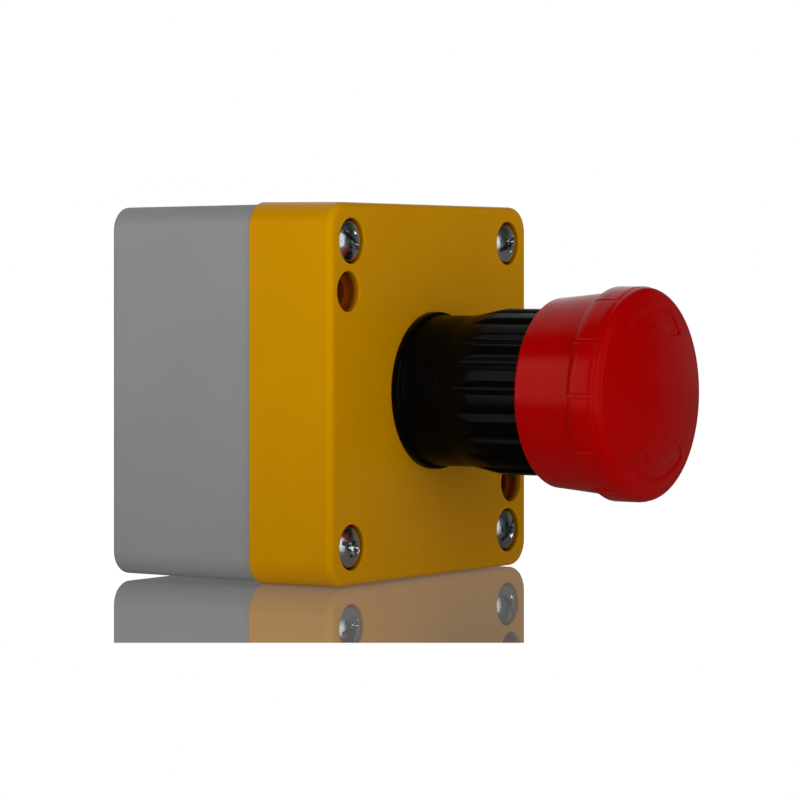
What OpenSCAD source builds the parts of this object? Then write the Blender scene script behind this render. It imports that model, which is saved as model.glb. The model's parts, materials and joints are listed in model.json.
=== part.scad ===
// Emergency stop push button in a surface-mounting housing.
// Millimetres. The origin is the centre of the back face, on the wall.
// +Z is up, and the button points along -Y.
// Pieces are drawn with z as the distance from the wall, then turned by front().

/* [Housing] */
// Width of the lid
case_w = 72; // [72:1:84]
// Height of the lid
case_h = 72; // [72:1:90]
// Depth from the wall to the lid's face
case_d = 50.8; // [50:0.2:60]
// Depth of the lid
lid_d = 18.2; // [17:0.2:20]
// Radius of the housing's corners
corner_r = 5; // [3:0.5:7]
// Thickness of the lid's face
face_t = 3; // [2.6:0.2:3.4]

/* [Button] */
// Radius of the mushroom head
head_r = 20.2; // [19.5:0.05:21.5]
// How far the head stands in front of the lid
head_reach = 50.5; // [49:0.5:56]
// Travel of the head when it is pressed
travel = 5; // [3:0.5:5]
// Angle that the head turns to let go
release_angle = 40; // [20:5:40]
// Number of ribs on the collar
rib_count = 20; // [12:2:24]

/* [Fixing] */
// Radius of the passages for the wall screws
wall_hole_r = 2.4; // [1.8:0.1:2.5]

/* [Hidden] */
$fn = 64;
fit = 0.05;
slide_fit = 0.2;
face_z = case_d;
seam_z = case_d - lid_d;

// Housing sizes
seam_step = 0.45;
lid_draft = 0.15;
base_draft = 0.25;
wall_t = 3;
lid_edge_r = 1.4;
base_edge_r = 1;
screw_inset = 7.4;
screw_x = case_w / 2 - screw_inset;
screw_y = case_h / 2 - screw_inset;
well_x = screw_x + 1.15;
well_y = screw_y - 9.46;
well_r = 3.8;
well_depth = 2.6;
counter_r = 4.3;
inner_x = case_w / 2 - seam_step - wall_t - 0.05;
inner_y = case_h / 2 - seam_step - wall_t - 0.05;
arm_x = screw_x - 6.4;
arm_y = well_y - 6.64;
gasket_w = 1;
gasket_t = 1.4;
knock_r = 10.1;
knock_z = 16;
pocket_w = 6.4;
pocket_h = 5.6;

// Lid screw sizes
screw_r = 2;
screw_head_r = 3.8;
screw_head_t = 2.6;
screw_drop = -0.4;
screw_len = 28;
screw_turns = [-35, 0, -8, 42];
counter_depth = screw_drop + screw_head_t + 0.05;

// Collar sizes, with z counted from the lid's face
flange_r = 15.15;
flange_t = 2;
neck_r = 14.5;
flare_r = 15.9;
flare_start = 10.3;
flare_end = 17.3;
collar_len = 34;
chamber_r = 12.6;
chamber_z = 4;
barrel_r = 11;
barrel_in_r = 8.8;
barrel_len = 12;
panel_hole_r = 11.15;
key_w = 3;
key_r = 11.9;
web_top = -4.5;
web_t = 3.5;
rib_phase = -4.1;
groove_r = 1.2;
groove_depth = 0.68;

// Stem and head sizes
stem_r = 6;
stem_nose_r = 5;
stem_tail_r = 4;
stem_shoulder_r = 8.4;
shoulder_z = 14;
nose_end = 42;
bead_z = 40.5;
bead_h = 0.5;
nose_start = 30;
pin_z = 18.6;
pin_r = 1.2;
pin_half = 11.6;
skirt_back = 28.5;
skirt_back_r = head_r - 2.2;
skirt_front_r = head_r - 1.05;
rim_back = 41;
rim_r = head_r - 0.2;
rim_front = 48;
rim_round = 1.55;
dome_edge_r = rim_r - rim_round;
dome_h = head_reach - rim_front;
dome_r = (dome_edge_r * dome_edge_r + dome_h * dome_h) / (2 * dome_h);
pad_count = 12;
pad_gap = 2;
pad_start = 0.5;
pad_back = rim_back + 0.2;
pad_end = 46.3;
arrow_in_r = 12.8;
arrow_out_r = 16;
barb_in_r = 11.4;
barb_out_r = 17.4;
arrow_tip_r = 14.8;
arrow_point = 48;
arrow_neck = 69;
arrow_tail = 132;
arrow_depth = 0.25;
cap_in_r = flare_r + 0.4;
cap_ceiling = 45.9;
insert_plate_t = 2.5;
finger_half = 19;
finger_in_r = 10;
finger_out_r = 12.1;
sleeve_z = 6.6;
sleeve_ring_t = 2;
sleeve_top = 16;
sleeve_in_r = 9.4;
sleeve_out_r = 12.2;

// Nut and contact carrier sizes
washer_t = 0.8;
nut_t = 4.5;
nut_flats = 27;
release_spring_r = 7.3;
foot_front = web_top - web_t - 0.1;
foot_t = 5;
foot_r = 8;
carrier_front = -8.9;
carrier_t = 10.6;
carrier_back = carrier_front - carrier_t;
carrier_rim_r = 13.6;
carrier_rim_t = 3.6;
carrier_w = 24;
carrier_h = 37;
hook_w = 16;
hook_reach = 4;
clamp_screw_z = carrier_front - 1.8;

// Contact block sizes
block_w = 10;
block_h = 38;
block_floor_gap = 4.3;
block_front = carrier_back;
block_d = case_d - wall_t + block_front - block_floor_gap;
block_x = 5.1;
block_back = block_front - block_d;
cover_t = 1;
shell_t = 1.2;
push_w = 4.2;
push_h = 6;
push_front = foot_front - foot_t - 0.1;
ledge_z = block_front - 4.7;
strip_t = 1;
strip_w = 5;
tip_r = 1.4;
tip_t = 0.8;
tip_y = 8;
bridge_t = 0.8;
bridge_front = ledge_z - strip_t - 2 * tip_t;
terminal_y = 15;
terminal_z = block_back + 7;

// Turns a piece so that its distance from the wall runs along -Y
module front() {
    rotate([90, 0, 0])
    children();
}

// Places a piece that is drawn with z counted from the lid's face
module on_face() {
    front()
    translate([0, 0, face_z])
    children();
}

// Flat rectangle with round corners
module round_rect(w, h, r) {
    square([w - 2 * r, h], center = true);
    square([w, h - 2 * r], center = true);
    for (x = [-1, 1], y = [-1, 1])
        translate([x * (w / 2 - r), y * (h / 2 - r)])
        circle(r);
}

// Outline of the dry space inside the housing, grown by g
module cross_outline(g) {
    round_rect(2 * (inner_x + g), 2 * (arm_y + g), 3 + g);
    round_rect(2 * (arm_x + g), 2 * (inner_y + g), 3 + g);
}

// Half section of a moulded shell: straight to the drafted side, with a round outer edge
module shell_profile(half, depth, draft, edge_r) {
    polygon([[0, 0], [half, 0], [half - draft, depth - edge_r],
        [half - draft - edge_r, depth - edge_r], [half - draft - edge_r, depth], [0, depth]]);
    translate([half - draft - edge_r, depth - edge_r])
    circle(edge_r);
}

// Solid block of a moulded shell with drafted sides and rounded corners and edge
module shell_block(w, h, depth, draft, edge_r, r) {
    rotate([90, 0, 90])
    translate([0, 0, r - w / 2])
    linear_extrude(w - 2 * r)
    union() {
        shell_profile(h / 2, depth, draft, edge_r);
        mirror([1, 0])
        shell_profile(h / 2, depth, draft, edge_r);
    }
    rotate([90, 0, 0])
    translate([0, 0, r - h / 2])
    linear_extrude(h - 2 * r)
    union() {
        shell_profile(w / 2, depth, draft, edge_r);
        mirror([1, 0])
        shell_profile(w / 2, depth, draft, edge_r);
    }
    for (x = [-1, 1], y = [-1, 1])
        translate([x * (w / 2 - r), y * (h / 2 - r), 0])
        rotate_extrude()
        intersection() {
            shell_profile(r, depth, draft, edge_r);
            square([r + 1, depth]);
        }
}

// Puts children at both wall-screw wells
module at_wells() {
    for (s = [-1, 1])
        translate([s * well_x, -s * well_y, 0])
        children();
}

// Puts children at the four lid screws
module at_screws() {
    for (x = [-1, 1], y = [-1, 1])
        translate([x * screw_x, y * screw_y, 0])
        children();
}

// Puts children at the two corners that have no well
module at_pockets() {
    for (s = [-1, 1])
        translate([s * (screw_x + 1.2), s * (screw_y - 9.2), 0])
        children();
}

module base_box() {
    color("lightgray")
    front()
    difference() {
        translate([0, 0, seam_z])
        mirror([0, 0, 1])
        shell_block(case_w - 2 * seam_step, case_h - 2 * seam_step, seam_z, base_draft,
            base_edge_r, corner_r - seam_step);
        translate([0, 0, wall_t])
        linear_extrude(seam_z)
        cross_outline(0);
        translate([0, 0, wall_t])
        at_pockets()
        linear_extrude(seam_z)
        round_rect(pocket_w, pocket_h, 1);
        // Groove for the gasket
        translate([0, 0, seam_z - gasket_t])
        linear_extrude(gasket_t + 1)
        difference() {
            cross_outline(2.1);
            cross_outline(0.9);
        }
        // Pilot holes for the lid screws
        translate([0, 0, face_z - screw_drop - screw_head_t - screw_len - 1.5])
        at_screws()
        cylinder(h = case_d, r = screw_r + 0.02);
        // Passages of the wall screws
        translate([0, 0, -1])
        at_wells()
        cylinder(h = case_d, r = wall_hole_r);
        // Thin round knock-outs in the top and the bottom wall
        for (s = [-1, 1]) {
            translate([0, s * inner_y, knock_z])
            rotate([-s * 90, 0, 0])
            translate([0, 0, -1])
            cylinder(h = 2.6, r = knock_r);
            translate([0, s * (case_h / 2 - seam_step - 0.7), knock_z])
            rotate([-s * 90, 0, 0])
            difference() {
                cylinder(h = 2, r = knock_r + 0.8);
                translate([0, 0, -1])
                cylinder(h = 4, r = knock_r);
            }
        }
        // Shallow relief in the back
        translate([0, 0, -1])
        linear_extrude(1.8)
        round_rect(2 * arm_x - 2, case_h - 20, 3);
    }
}

module lid() {
    color("gold")
    front()
    difference() {
        union() {
            translate([0, 0, seam_z])
            shell_block(case_w, case_h, lid_d, lid_draft, lid_edge_r, corner_r);
            // Lip that centres the lid in the base
            translate([0, 0, seam_z - 2])
            linear_extrude(3)
            cross_outline(-0.25);
        }
        translate([0, 0, seam_z - 3])
        linear_extrude(6)
        cross_outline(-1.75);
        translate([0, 0, seam_z + 2])
        linear_extrude(lid_d - face_t - 2)
        cross_outline(-0.25);
        translate([0, 0, seam_z - 1])
        at_pockets()
        linear_extrude(lid_d - face_t + 1)
        round_rect(pocket_w, pocket_h, 1);
        // Holes and counterbores of the lid screws
        at_screws() {
            translate([0, 0, seam_z - 1])
            cylinder(h = case_d, r = screw_r + 0.25);
            translate([0, 0, face_z - counter_depth])
            cylinder(h = case_d, r = counter_r);
        }
        // Passages of the wall screws, with counterbores for their heads
        at_wells() {
            translate([0, 0, seam_z - 1])
            cylinder(h = case_d, r = wall_hole_r);
            translate([0, 0, face_z - well_depth])
            cylinder(h = case_d, r = well_r);
        }
        // Panel hole with the notch for the key
        translate([0, 0, face_z - face_t - 1])
        cylinder(h = face_t + 2, r = panel_hole_r);
        translate([-key_w / 2 - 0.1, 0, face_z - face_t - 1])
        cube([key_w + 0.2, key_r + 0.1, face_t + 2]);
    }
}

module lid_gasket() {
    color("dimgray")
    front()
    translate([0, 0, seam_z - gasket_t])
    linear_extrude(gasket_t)
    difference() {
        cross_outline(1.5 + gasket_w / 2);
        cross_outline(1.5 - gasket_w / 2);
    }
}

// Domed screw head with a slot and a cross; its top is at z = 0
module combi_head(r, t, slot_w) {
    dome = (r * r + 1.2) / 2;
    difference() {
        intersection() {
            translate([0, 0, -t])
            cylinder(h = t, r = r);
            translate([0, 0, -dome])
            sphere(dome);
        }
        translate([-r * 0.86, -slot_w / 2, -t * 0.42])
        cube([r * 1.72, slot_w, t]);
        for (a = [0, 90])
            rotate(a)
            translate([-r * 0.56, -slot_w * 0.55, -t * 0.72])
            cube([r * 1.12, slot_w * 1.1, t]);
    }
}

module lid_screw() {
    combi_head(screw_head_r, screw_head_t, 1);
    translate([0, 0, -screw_head_t - screw_len])
    cylinder(h = screw_len + 0.3, r = screw_r);
}

module lid_screws() {
    color("silver")
    front()
    translate([0, 0, face_z - screw_drop])
    for (i = [0:3])
        translate([(i % 2 == 0 ? -1 : 1) * screw_x, (i < 2 ? 1 : -1) * screw_y, 0])
        rotate(screw_turns[i])
        lid_screw();
}

// Outline of the collar, from its axis out
module collar_profile() {
    polygon([[0, -barrel_len], [barrel_r - 0.5, -barrel_len], [barrel_r, 0.5 - barrel_len],
        [barrel_r, 0], [flange_r, 0], [flange_r, flange_t - 0.7], [flange_r - 0.7, flange_t],
        [neck_r, flange_t + 0.4], [neck_r, flare_start], [flare_r, flare_end],
        [flare_r, collar_len - 0.6], [flare_r - 0.6, collar_len], [0, collar_len]]);
}

module collar() {
    color([0.1, 0.1, 0.1])
    on_face()
    difference() {
        union() {
            rotate_extrude()
            collar_profile();
            translate([-key_w / 2, 0, -face_t])
            cube([key_w, key_r, face_t + 0.5]);
        }
        // Chamber of the latch and bore of the barrel
        translate([0, 0, chamber_z])
        cylinder(h = collar_len, r = chamber_r);
        translate([0, 0, web_top])
        cylinder(h = collar_len, r = barrel_in_r);
        translate([0, 0, -barrel_len - 1])
        cylinder(h = barrel_len + 1 + web_top - web_t, r = barrel_in_r);
        translate([0, 0, -barrel_len])
        cylinder(h = barrel_len, r = stem_r + 0.08);
        translate([0, 0, web_top - web_t - 0.5])
        cylinder(h = 2.1, r = stem_r + 1.7);
        // Groove for the seal under the flange
        translate([0, 0, -1])
        difference() {
            cylinder(h = 2, r = flange_r - 1);
            translate([0, 0, -1])
            cylinder(h = 4, r = flange_r - 2.6);
        }
        // Hole for the fixed leg of the torsion spring
        translate([0, -chamber_r + 1.6, chamber_z - 1.8])
        cylinder(h = 3, r = 0.6);
        // Grooves between the ribs; each starts where the flare rises past its floor
        for (i = [0:rib_count - 1])
            rotate(rib_phase + i * 360 / rib_count)
            translate([flare_r - groove_depth + groove_r, 0, flare_start])
            cylinder(h = collar_len, r = groove_r);
    }
}

module panel_seal() {
    color("dimgray")
    on_face()
    difference() {
        cylinder(h = 1, r = flange_r - 1.1);
        translate([0, 0, -1])
        cylinder(h = 3, r = flange_r - 2.5);
    }
}

module nut_washer() {
    color("silver")
    on_face()
    translate([0, 0, -face_t - washer_t])
    difference() {
        cylinder(h = washer_t, r = nut_flats / 2 + 1.2);
        translate([0, 0, -1])
        cylinder(h = washer_t + 2, r = barrel_r + 0.15);
    }
}

module fixing_nut() {
    color("gray")
    on_face()
    translate([0, 0, -face_t - washer_t - nut_t])
    difference() {
        intersection() {
            cylinder(h = nut_t, r = nut_flats / sqrt(3), $fn = 6);
            translate([0, 0, nut_t / 2])
            cylinder(h = nut_t + 1, r = nut_flats / sqrt(3) - 0.6, center = true);
        }
        translate([0, 0, -1])
        cylinder(h = nut_t + 2, r = barrel_r + fit);
    }
}

module stem_seal() {
    color("dimgray")
    on_face()
    translate([0, 0, web_top - web_t + 0.75])
    rotate_extrude()
    translate([stem_r + 0.85, 0])
    circle(0.75);
}

// Half section of the mushroom cap's outside
module cap_profile() {
    polygon([[0, skirt_back], [skirt_back_r - 0.9, skirt_back], [skirt_back_r, skirt_back + 0.9],
        [skirt_front_r, rim_back], [rim_r - 0.4, rim_back], [rim_r, rim_back + 0.4],
        [rim_r, rim_front - rim_round], [dome_edge_r, rim_front - rim_round],
        [dome_edge_r, rim_front], [0, rim_front]]);
    translate([skirt_back_r - 0.9, skirt_back + 0.9])
    circle(0.9);
    translate([dome_edge_r, rim_front - rim_round])
    circle(rim_round);
}

function on_circle(r, angle) = [r * cos(angle), r * sin(angle)];

// Flat shape of one curved arrow that points clockwise
module arrow_shape() {
    difference() {
        circle(arrow_out_r);
        circle(arrow_in_r);
        // Half planes that leave the band from its neck to its tail
        rotate(arrow_neck)
        translate([-head_r, -2 * head_r])
        square(2 * head_r);
        rotate(arrow_tail)
        translate([-head_r, 0])
        square(2 * head_r);
        translate([-head_r, -2 * head_r])
        square(2 * head_r);
    }
    polygon([on_circle(barb_in_r, arrow_neck + 0.5), on_circle(barb_out_r, arrow_neck + 0.5),
        on_circle(arrow_tip_r, arrow_point)]);
}

module mushroom_cap() {
    color("red")
    on_face()
    difference() {
        union() {
            rotate_extrude()
            cap_profile();
            translate([0, 0, head_reach - dome_r])
            intersection() {
                sphere(dome_r);
                translate([0, 0, dome_r - dome_h - 0.5])
                cylinder(h = dome_h + 1, r = dome_edge_r);
            }
            // Grip pads around the rim
            for (i = [0:pad_count - 1])
                rotate(pad_start + i * 360 / pad_count)
                rotate_extrude(angle = 360 / pad_count - pad_gap)
                translate([rim_r - 1, pad_back])
                square([head_r - rim_r + 1, pad_end - pad_back]);
        }
        // Hollow of the skirt
        translate([0, 0, skirt_back - 1])
        cylinder(h = cap_ceiling - skirt_back + 1, r = cap_in_r);
        translate([0, 0, rim_back - 4])
        cylinder(h = cap_ceiling - insert_plate_t - rim_back + 3.9, r = cap_in_r + 1);
        // Two shallow arrows sunk in the dome
        for (turn = [0, 180])
            rotate(turn)
            difference() {
                translate([0, 0, rim_front - 1])
                linear_extrude(dome_h + 2)
                arrow_shape();
                translate([0, 0, head_reach - dome_r])
                sphere(dome_r - arrow_depth);
            }
    }
}

module cap_insert() {
    color([0.2, 0.2, 0.2])
    on_face()
    difference() {
        union() {
            translate([0, 0, cap_ceiling - insert_plate_t])
            cylinder(h = insert_plate_t, r = cap_in_r - fit);
            translate([0, 0, nose_start + 1])
            cylinder(h = cap_ceiling - nose_start - 2, r = stem_nose_r + 2.4);
            // Drive fingers that turn the latch sleeve
            for (turn = [90, 270])
                rotate(turn - finger_half)
                rotate_extrude(angle = 2 * finger_half)
                translate([finger_in_r, shoulder_z + 0.2])
                square([finger_out_r - finger_in_r, cap_ceiling - shoulder_z - 1]);
        }
        translate([0, 0, nose_start])
        cylinder(h = nose_end + 0.4 - nose_start, r = stem_nose_r + fit);
        // Inner groove that clips over the stem's bead
        translate([0, 0, bead_z - 0.75])
        cylinder(h = 2, r = stem_nose_r + bead_h + 0.15);
    }
}

module stem() {
    color("white")
    on_face()
    difference() {
        union() {
            rotate_extrude()
            polygon([[0, foot_front - 3], [stem_tail_r, foot_front - 3],
                [stem_tail_r, foot_front], [stem_r, foot_front + 0.02], [stem_r, shoulder_z],
                [stem_shoulder_r, shoulder_z], [stem_shoulder_r, shoulder_z + 1.6],
                [stem_r, shoulder_z + 2.2], [stem_r, nose_start - bead_h],
                [stem_nose_r, nose_start + 0.3], [stem_nose_r, bead_z - 0.5],
                [stem_nose_r + bead_h, bead_z - 0.2], [stem_nose_r + bead_h, bead_z + 0.2],
                [stem_nose_r - 0.3, nose_end], [0, nose_end]]);
        }
        // Hole for the latch pin
        translate([0, 0, pin_z])
        rotate([0, 90, 0])
        cylinder(h = 4 * stem_r, r = pin_r + 0.02, center = true);
        // Hole for the foot screw
        translate([0, 0, foot_front - 4])
        cylinder(h = 11, r = 1.52);
    }
}

module latch_pin() {
    color("silver")
    on_face()
    translate([0, 0, pin_z])
    rotate([0, 90, 0])
    cylinder(h = 2 * pin_half, r = pin_r, center = true);
}

module plunger_foot() {
    color("white")
    on_face()
    difference() {
        translate([0, 0, foot_front - foot_t])
        cylinder(h = foot_t, r = foot_r);
        translate([0, 0, foot_front - 3.05])
        cylinder(h = 4, r = stem_tail_r + 0.03);
        translate([0, 0, foot_front - foot_t - 1])
        cylinder(h = foot_t, r = 1.6);
        translate([0, 0, foot_front - foot_t - 1])
        cylinder(h = 2.3, r = 2.8);
    }
}

module foot_screw() {
    color("silver")
    on_face()
    translate([0, 0, foot_front - foot_t + 0.05])
    difference() {
        union() {
            cylinder(h = 1.25, r = 2.5);
            cylinder(h = 10, r = 1.5);
        }
        for (a = [0, 90])
            rotate(a)
            translate([-1.5, -0.35, -1])
            cube([3, 0.7, 1.8]);
    }
}

// Part of a tube between two angles
module tube_sector(r1, r2, z, h, from, to) {
    rotate(from)
    rotate_extrude(angle = to - from)
    translate([r1, z])
    square([r2 - r1, h]);
}

module latch_sleeve() {
    color("gold")
    on_face()
    difference() {
        translate([0, 0, sleeve_z])
        cylinder(h = sleeve_top - sleeve_z, r = sleeve_out_r);
        translate([0, 0, sleeve_z - 1])
        cylinder(h = sleeve_top, r = sleeve_in_r);
        // Slots for the drive fingers
        for (turn = [90, 270])
            tube_sector(sleeve_in_r - 1, sleeve_out_r + 1, sleeve_z + sleeve_ring_t, 20,
                turn - finger_half - 1.2, turn + finger_half + 1.2);
        // Cut-outs that the latch pin drops into
        for (turn = [0, 180])
            tube_sector(sleeve_in_r - 1, sleeve_out_r + 1, pin_z - travel - pin_r - 0.4, 20,
                turn - 10, turn + release_angle + 10);
        // Hole for the moving leg of the torsion spring
        translate([0, chamber_r - 1.6, sleeve_z - 1])
        cylinder(h = 3, r = 0.6);
    }
}

// Height of a compression spring's wire, with a closed turn at each end
function coil_z(u, turns, h, d) =
    u < 1 ? u * d :
    u > turns - 1 ? h - (turns - u) * d :
    d + (u - 1) / (turns - 2) * (h - 2 * d);

// Round wire swept along a helix; the ends are flat
module coil(r, wire_r, h, turns, per_turn, sides, dead) {
    steps = ceil(turns * per_turn);
    h_mid = h - 2 * wire_r;
    points = [for (i = [0:steps])
        let (u = i * turns / steps,
            a = 360 * u,
            z = wire_r + (dead ? coil_z(u, turns, h_mid, 2 * wire_r + 0.05)
                : u / turns * h_mid))
        for (k = [0:sides - 1])
            let (b = 360 * k / sides, q = r + wire_r * cos(b))
            [q * cos(a), q * sin(a), z + wire_r * sin(b)]];
    faces = concat(
        [[for (k = [0:sides - 1]) sides - 1 - k]],
        [[for (k = [0:sides - 1]) steps * sides + k]],
        [for (i = [0:steps - 1], k = [0:sides - 1])
            let (k2 = (k + 1) % sides)
            each [[i * sides + k, (i + 1) * sides + k2, (i + 1) * sides + k],
                [i * sides + k, i * sides + k2, (i + 1) * sides + k2]]]);
    polyhedron(points, faces);
}

module torsion_spring() {
    color("silver")
    on_face() {
        translate([0, 0, chamber_z + 0.1])
        rotate(-90)
        coil(chamber_r - 1.6, 0.4, sleeve_z - chamber_z - 0.2, 1.5, 24, 8, false);
        translate([0, -chamber_r + 1.6, chamber_z - 1.5])
        cylinder(h = 2, r = 0.39);
        translate([0, chamber_r - 1.6, sleeve_z - 0.5])
        cylinder(h = 2, r = 0.39);
    }
}

module release_spring() {
    color("silver")
    on_face()
    translate([0, 0, web_top + 0.02])
    coil(release_spring_r, 0.6, shoulder_z - web_top - 0.04, 6.5, 22, 8, true);
}

module contact_carrier() {
    color([0.25, 0.25, 0.25])
    on_face()
    difference() {
        union() {
            translate([0, 0, carrier_front - carrier_rim_t])
            cylinder(h = carrier_rim_t, r = carrier_rim_r);
            translate([0, 0, carrier_back])
            linear_extrude(carrier_t - carrier_rim_t + 0.2)
            round_rect(carrier_w, carrier_h, 2);
            // Lug of the clamping screw
            translate([-4, barrel_r - 1, carrier_front - 4])
            cube([8, 7.5, 4]);
            // Hooks that hold the blocks
            for (s = [-1, 1])
                translate([-hook_w / 2, s * (block_h / 2 + 0.9) - 0.8, carrier_back - hook_reach])
                cube([hook_w, 1.6, 2 * hook_reach]);
            for (s = [-1, 1])
                translate([-hook_w / 2, s * (block_h / 2 + 0.6) - 1.1, carrier_back + 1.2])
                cube([hook_w, 2.2, 2]);
            for (s = [-1, 1])
                translate([-hook_w / 2, s * (block_h / 2 + 0.2) - 0.8, carrier_back - hook_reach])
                cube([hook_w, 1.6, 1.2]);
        }
        translate([0, 0, carrier_front - carrier_rim_t + 0.2])
        cylinder(h = 5, r = barrel_r + fit);
        translate([0, 0, carrier_back - 1])
        cylinder(h = carrier_t + 2, r = foot_r + 0.6);
        // Hole of the clamping screw and room for its head
        translate([0, barrel_r, clamp_screw_z])
        rotate([-90, 0, 0])
        cylinder(h = 10, r = 1.27);
        translate([0, barrel_r + 6.5, clamp_screw_z])
        rotate([-90, 0, 0])
        cylinder(h = 10, r = 2.7);
    }
}

module carrier_screw() {
    color("silver")
    on_face()
    translate([0, 0, clamp_screw_z])
    rotate([-90, 0, 0]) {
        translate([0, 0, barrel_r + 0.1])
        cylinder(h = 8, r = 1.25);
        difference() {
            translate([0, 0, barrel_r + 6.6])
            cylinder(h = 1.8, r = 2.4);
            translate([-2, -0.35, barrel_r + 7.6])
            cube([4, 0.7, 2]);
        }
    }
}

// Draws a left-hand piece, or its mirror image on the right
module on_side(side) {
    on_face()
    if (side < 0)
        children();
    else
        mirror([1, 0, 0])
        children();
}

module block_housing(side) {
    color("gray")
    on_side(side)
    translate([-block_x, 0, 0])
    difference() {
        translate([-block_w / 2 + cover_t, -block_h / 2, block_back])
        cube([block_w - cover_t, block_h, block_d]);
        // Room for the bridge and its spring
        translate([-block_w / 2, -11, block_back + 1.5])
        cube([block_w - shell_t, 22, block_d - 1.5 - 4.7]);
        // Room for the pusher's shoulder
        translate([-block_w / 2, -4.9, block_back + 1.5])
        cube([block_w - shell_t, 9.8, block_d - 3]);
        // Window for the pusher
        translate([-push_w / 2 - slide_fit, -push_h / 2 - slide_fit, block_front - 3])
        cube([push_w + 2 * slide_fit, push_h + 2 * slide_fit, 4]);
        // Open terminal pockets, seats of the strips and holes for the wires
        for (s = [-1, 1]) {
            translate([-block_w / 2, s * 14.3 - 3.3, block_back - 1])
            cube([block_w - shell_t, 6.6, 14]);
            translate([-block_w / 2, s * 11.5 - 1, block_back + 1.5])
            cube([block_w - shell_t, 2, block_d - 1.5 - 4.7]);
            translate([0, s * block_h / 2, terminal_z + 2.8])
            rotate([90, 0, 0])
            cylinder(h = 4, r = 1.7, center = true);
            translate([-block_w / 2, s * (block_h / 2) - 0.9, block_front - 4.2])
            cube([block_w + 1, 1.8, 1.6]);
            translate([-block_w / 2, s * 14, block_front - 1.9])
            rotate([0, 90, 0])
            cylinder(h = 5, r = 1);
        }
    }
}

module block_post(side) {
    on_side(side)
    translate([-block_x, 0, block_back + 1])
    cylinder(h = 7.5, r = 1.7);
}

module left_block_housing() {
    block_housing(-1);
    color("gray")
    block_post(-1);
}

module right_block_housing() {
    block_housing(1);
    color("gray")
    block_post(1);
}

module block_cover(side) {
    color("darkgray")
    on_side(side)
    translate([-block_x, 0, 0])
    difference() {
        union() {
            translate([-block_w / 2, -block_h / 2, block_back])
            cube([cover_t - 0.02, block_h, block_d]);
            for (s = [-1, 1])
                translate([-block_w / 2 + 0.5, s * 14, block_front - 1.9])
                rotate([0, 90, 0])
                cylinder(h = 3.5, r = 0.95);
        }
        for (s = [-1, 1])
            translate([-block_w / 2 - 1, s * (block_h / 2) - 0.9, block_front - 4.2])
            cube([block_w + 1, 1.8, 1.6]);
    }
}

module left_block_cover() {
    block_cover(-1);
}

module right_block_cover() {
    block_cover(1);
}

module pusher(side) {
    color("firebrick")
    on_side(side)
    translate([-block_x, 0, 0]) {
        translate([-push_w / 2, -push_h / 2, block_front - 4])
        cube([push_w, push_h, push_front - block_front + 4]);
        translate([-push_w / 2, -4.5, block_front - 4.2])
        cube([push_w, 9, 2.6]);
        translate([-push_w / 2, -2.5, bridge_front + fit])
        cube([push_w, 5, block_front - 4 - bridge_front]);
    }
}

module left_pusher() {
    pusher(-1);
}

module right_pusher() {
    pusher(1);
}

module bridge(side) {
    color("peru")
    on_side(side)
    translate([-block_x, 0, bridge_front - bridge_t])
    linear_extrude(bridge_t)
    round_rect(4.6, 2 * tip_y + 5, 1);
}

module left_bridge() {
    bridge(-1);
}

module right_bridge() {
    bridge(1);
}

module moving_tips(side) {
    color("silver")
    on_side(side)
    for (s = [-1, 1])
        translate([-block_x, s * tip_y, bridge_front])
        cylinder(h = tip_t - 0.01, r = tip_r);
}

module left_moving_tips() {
    moving_tips(-1);
}

module right_moving_tips() {
    moving_tips(1);
}

module contact_spring(side) {
    color("silver")
    on_side(side)
    translate([-block_x, 0, block_back + 1.52])
    coil(2.5, 0.3, bridge_front - bridge_t - block_back - 1.54, 6, 14, 6, true);
}

module left_contact_spring() {
    contact_spring(-1);
}

module right_contact_spring() {
    contact_spring(1);
}

// Bent strip from a fixed contact to its terminal
module terminal(side, up) {
    color("goldenrod")
    on_side(side)
    translate([-block_x, 0, 0])
    mirror([0, up > 0 ? 0 : 1, 0])
    difference() {
        union() {
            translate([-strip_w / 2, 5.8, ledge_z - strip_t])
            cube([strip_w, 6.6, strip_t]);
            translate([-strip_w / 2, 11.4, terminal_z])
            cube([strip_w, 1, ledge_z - terminal_z]);
            translate([-strip_w / 2, 11.4, terminal_z])
            cube([strip_w, 6, strip_t]);
        }
        translate([0, terminal_y, terminal_z - 1])
        cylinder(h = 4, r = 1.52);
    }
}

module left_upper_terminal() {
    terminal(-1, 1);
}

module left_lower_terminal() {
    terminal(-1, -1);
}

module right_upper_terminal() {
    terminal(1, 1);
}

module right_lower_terminal() {
    terminal(1, -1);
}

module fixed_tips() {
    color("silver")
    on_face()
    for (x = [-1, 1], y = [-1, 1])
        translate([x * block_x, y * tip_y, ledge_z - strip_t - tip_t])
        cylinder(h = tip_t, r = tip_r);
}

module clamp_plates() {
    color("silver")
    on_face()
    for (x = [-1, 1], y = [-1, 1])
        translate([x * block_x, y * terminal_y, terminal_z - 2.4])
        difference() {
            translate([-2.6, -2.2, 0])
            cube([5.2, 4.4, 0.9]);
            translate([0, 0, -1])
            cylinder(h = 3, r = 1.6);
        }
}

module terminal_screws() {
    color("silver")
    on_face()
    for (x = [-1, 1], y = [-1, 1])
        translate([x * block_x, y * terminal_y, terminal_z - 2.45]) {
            cylinder(h = 6, r = 1.5);
            rotate([180, 0, 30 + 50 * x])
            translate([0, 0, 1.7])
            combi_head(2.4, 1.7, 0.6);
        }
}

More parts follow.
